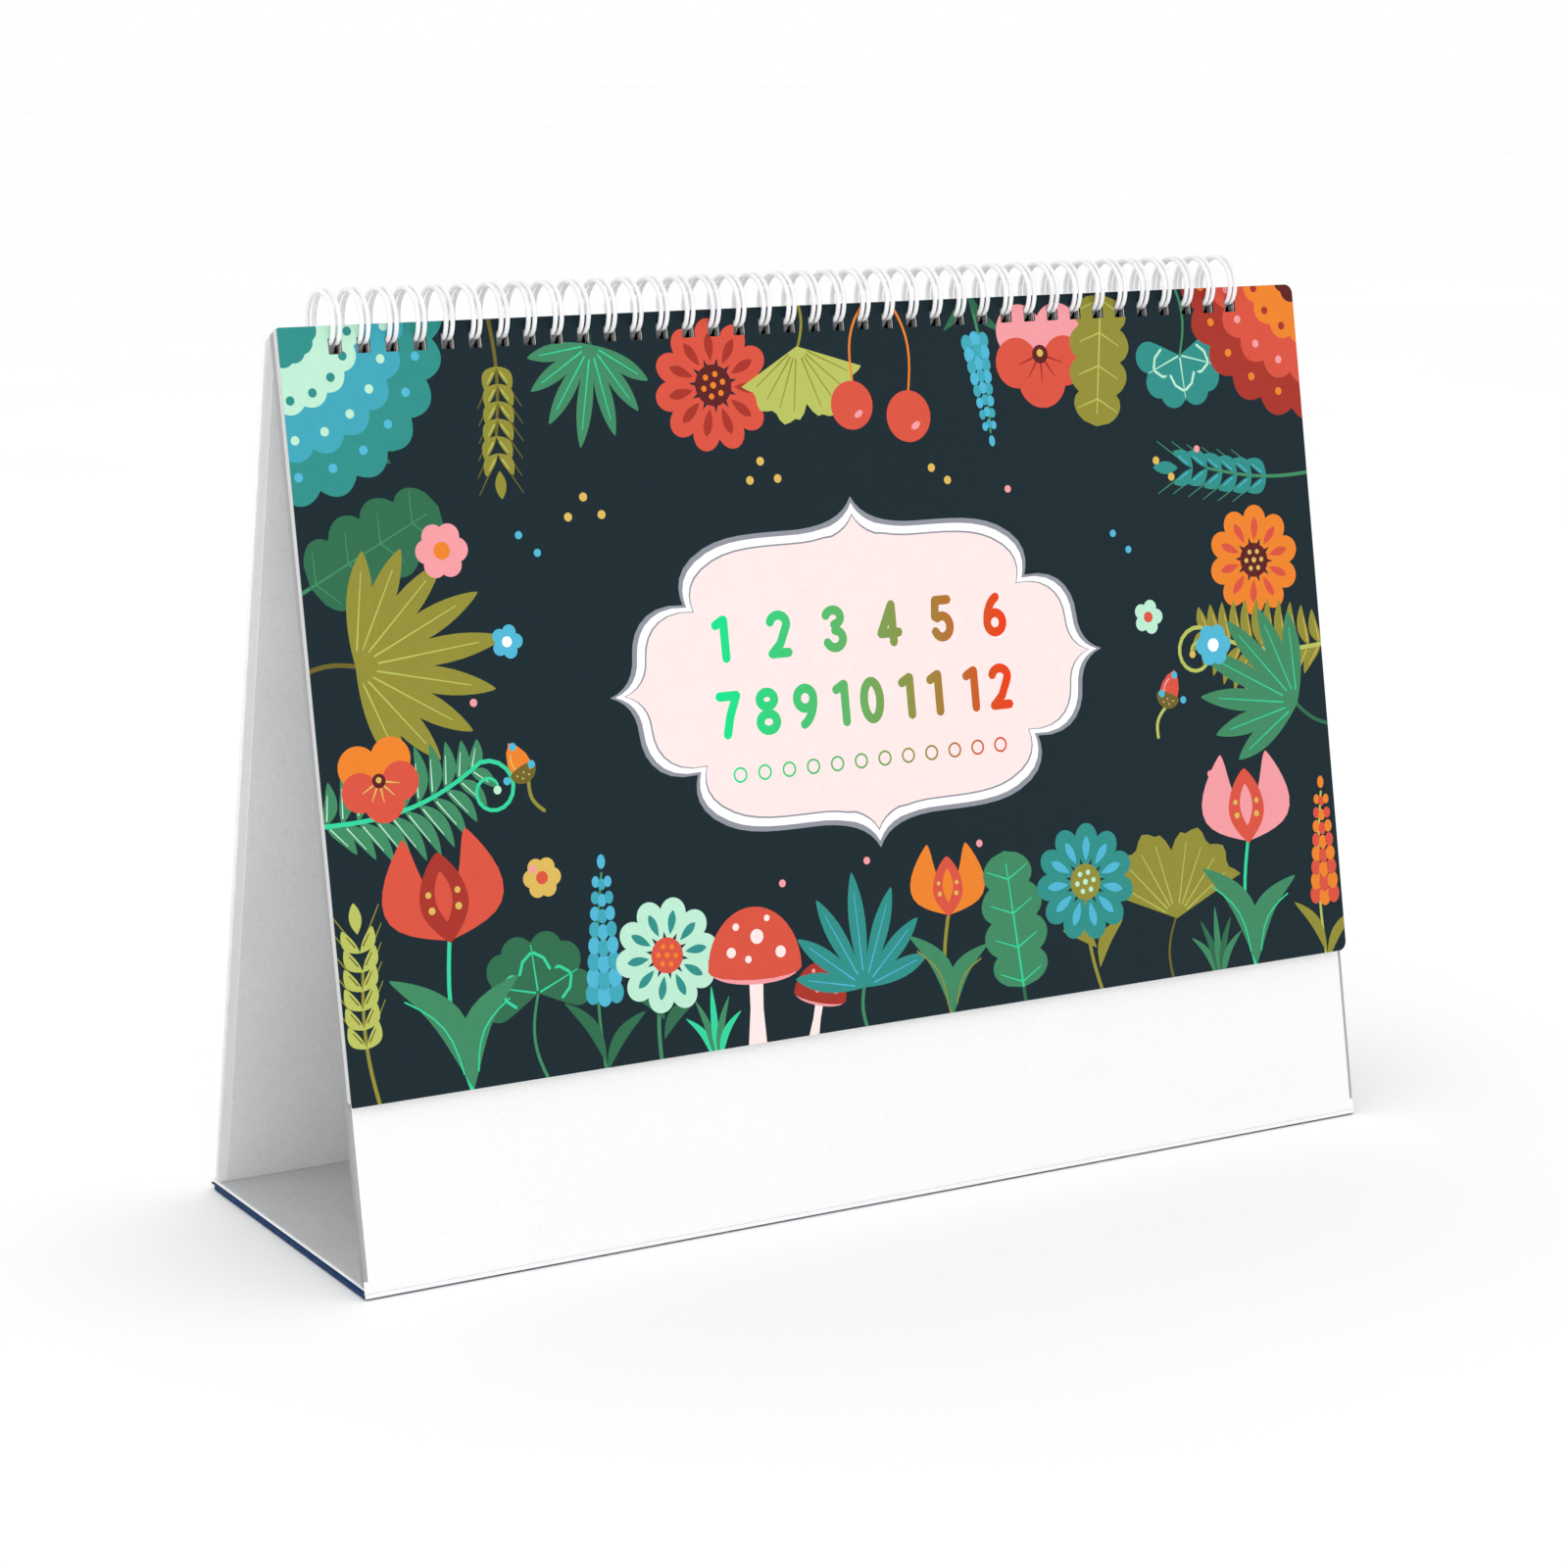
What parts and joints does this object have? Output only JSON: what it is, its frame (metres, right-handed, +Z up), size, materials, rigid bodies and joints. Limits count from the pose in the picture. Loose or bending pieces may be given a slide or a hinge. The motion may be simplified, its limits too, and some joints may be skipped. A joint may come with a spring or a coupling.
{
  "type": "flip desk calendar",
  "caption": "Easel-style flip desk calendar: folding three-panel board stand, twin-loop wire binding, printed cover and month leaves that turn over the top.",
  "frame": {"origin": "on the table, under the centre of the overall box, with the easel open", "axes": "+Z up, +X along the wire and the panels' width, +Y to the back, so the cover faces -Y"},
  "size_m": [0.26, 0.083, 0.2031],
  "materials": {
    "white_wrap": "white coated paper wrap, soft satin",
    "grey_liner": "uncoated pale grey lining paper",
    "greyboard": "pressed grey board, matt",
    "blue_pad": "dark blue non-slip sheet, matt",
    "white_wire": "white nylon-coated steel wire, glossy",
    "leaf_paper": "uncoated white text paper",
    "cover_print": "coated card printed dark slate with a plant pattern, satin"
  },
  "bodies": {
    "front_panel": {"front_board": "greyboard", "front_wrap": "white_wrap", "front_liner": "grey_liner", "twin_loop_wire": "white_wire"},
    "back_panel": {"back_board": "greyboard", "back_wrap": "white_wrap", "back_liner": "grey_liner"},
    "base_panel": {"base_board": "greyboard", "base_wrap": "white_wrap", "base_liner": "grey_liner", "base_pad": "blue_pad"},
    "leaves_line": {"leaves_hinge_line": "leaf_paper"},
    "leaves": {"leaf_1": "leaf_paper", "leaf_2": "leaf_paper", "leaf_3": "leaf_paper", "leaf_4": "leaf_paper", "leaf_5": "leaf_paper", "leaf_6": "leaf_paper", "leaf_7": "leaf_paper", "leaf_8": "leaf_paper", "leaf_9": "leaf_paper"},
    "cover_line": {"cover_hinge_line": "cover_print"},
    "cover": {"cover": "cover_print"}
  },
  "joints": [
    {"name": "stand_fold", "type": "hinge", "parent": "front_panel", "child": "back_panel", "pos_m": [0, -0.001, 0.19617], "axis": [-1, 0, 0], "range_deg": [0, 22]},
    {"name": "base_swing", "type": "hinge", "parent": "front_panel", "child": "base_panel", "pos_m": [0, -0.04133, 0.001], "axis": [-1, 0, 0], "range_deg": [0, 101.01]},
    {"name": "leaves_turn", "type": "hinge", "parent": "front_panel", "child": "leaves_line", "pos_m": [0, -0.001, 0.19617], "axis": [-1, 0, 0], "range_deg": [0, 270.66]},
    {"name": "leaves_drop", "type": "hinge", "parent": "leaves_line", "child": "leaves", "pos_m": [0, -0.00535, 0.19134], "axis": [-1, 0, 0], "range_deg": [0, 67.35]},
    {"name": "cover_turn", "type": "hinge", "parent": "leaves", "child": "cover_line", "pos_m": [0, -0.001, 0.19617], "axis": [1, 0, 0], "range_deg": [-268.18, 0]},
    {"name": "cover_drop", "type": "hinge", "parent": "cover_line", "child": "cover", "pos_m": [0, -0.00631, 0.19243], "axis": [1, 0, 0], "range_deg": [-69.83, 0]}
  ],
  "couplings": [
    {"joint": "base_swing", "follows": "stand_fold", "ratio": 4.5909},
    {"joint": "leaves_drop", "follows": "leaves_turn", "ratio": 0.24882},
    {"joint": "cover_drop", "follows": "cover_turn", "ratio": 0.26034}
  ]
}
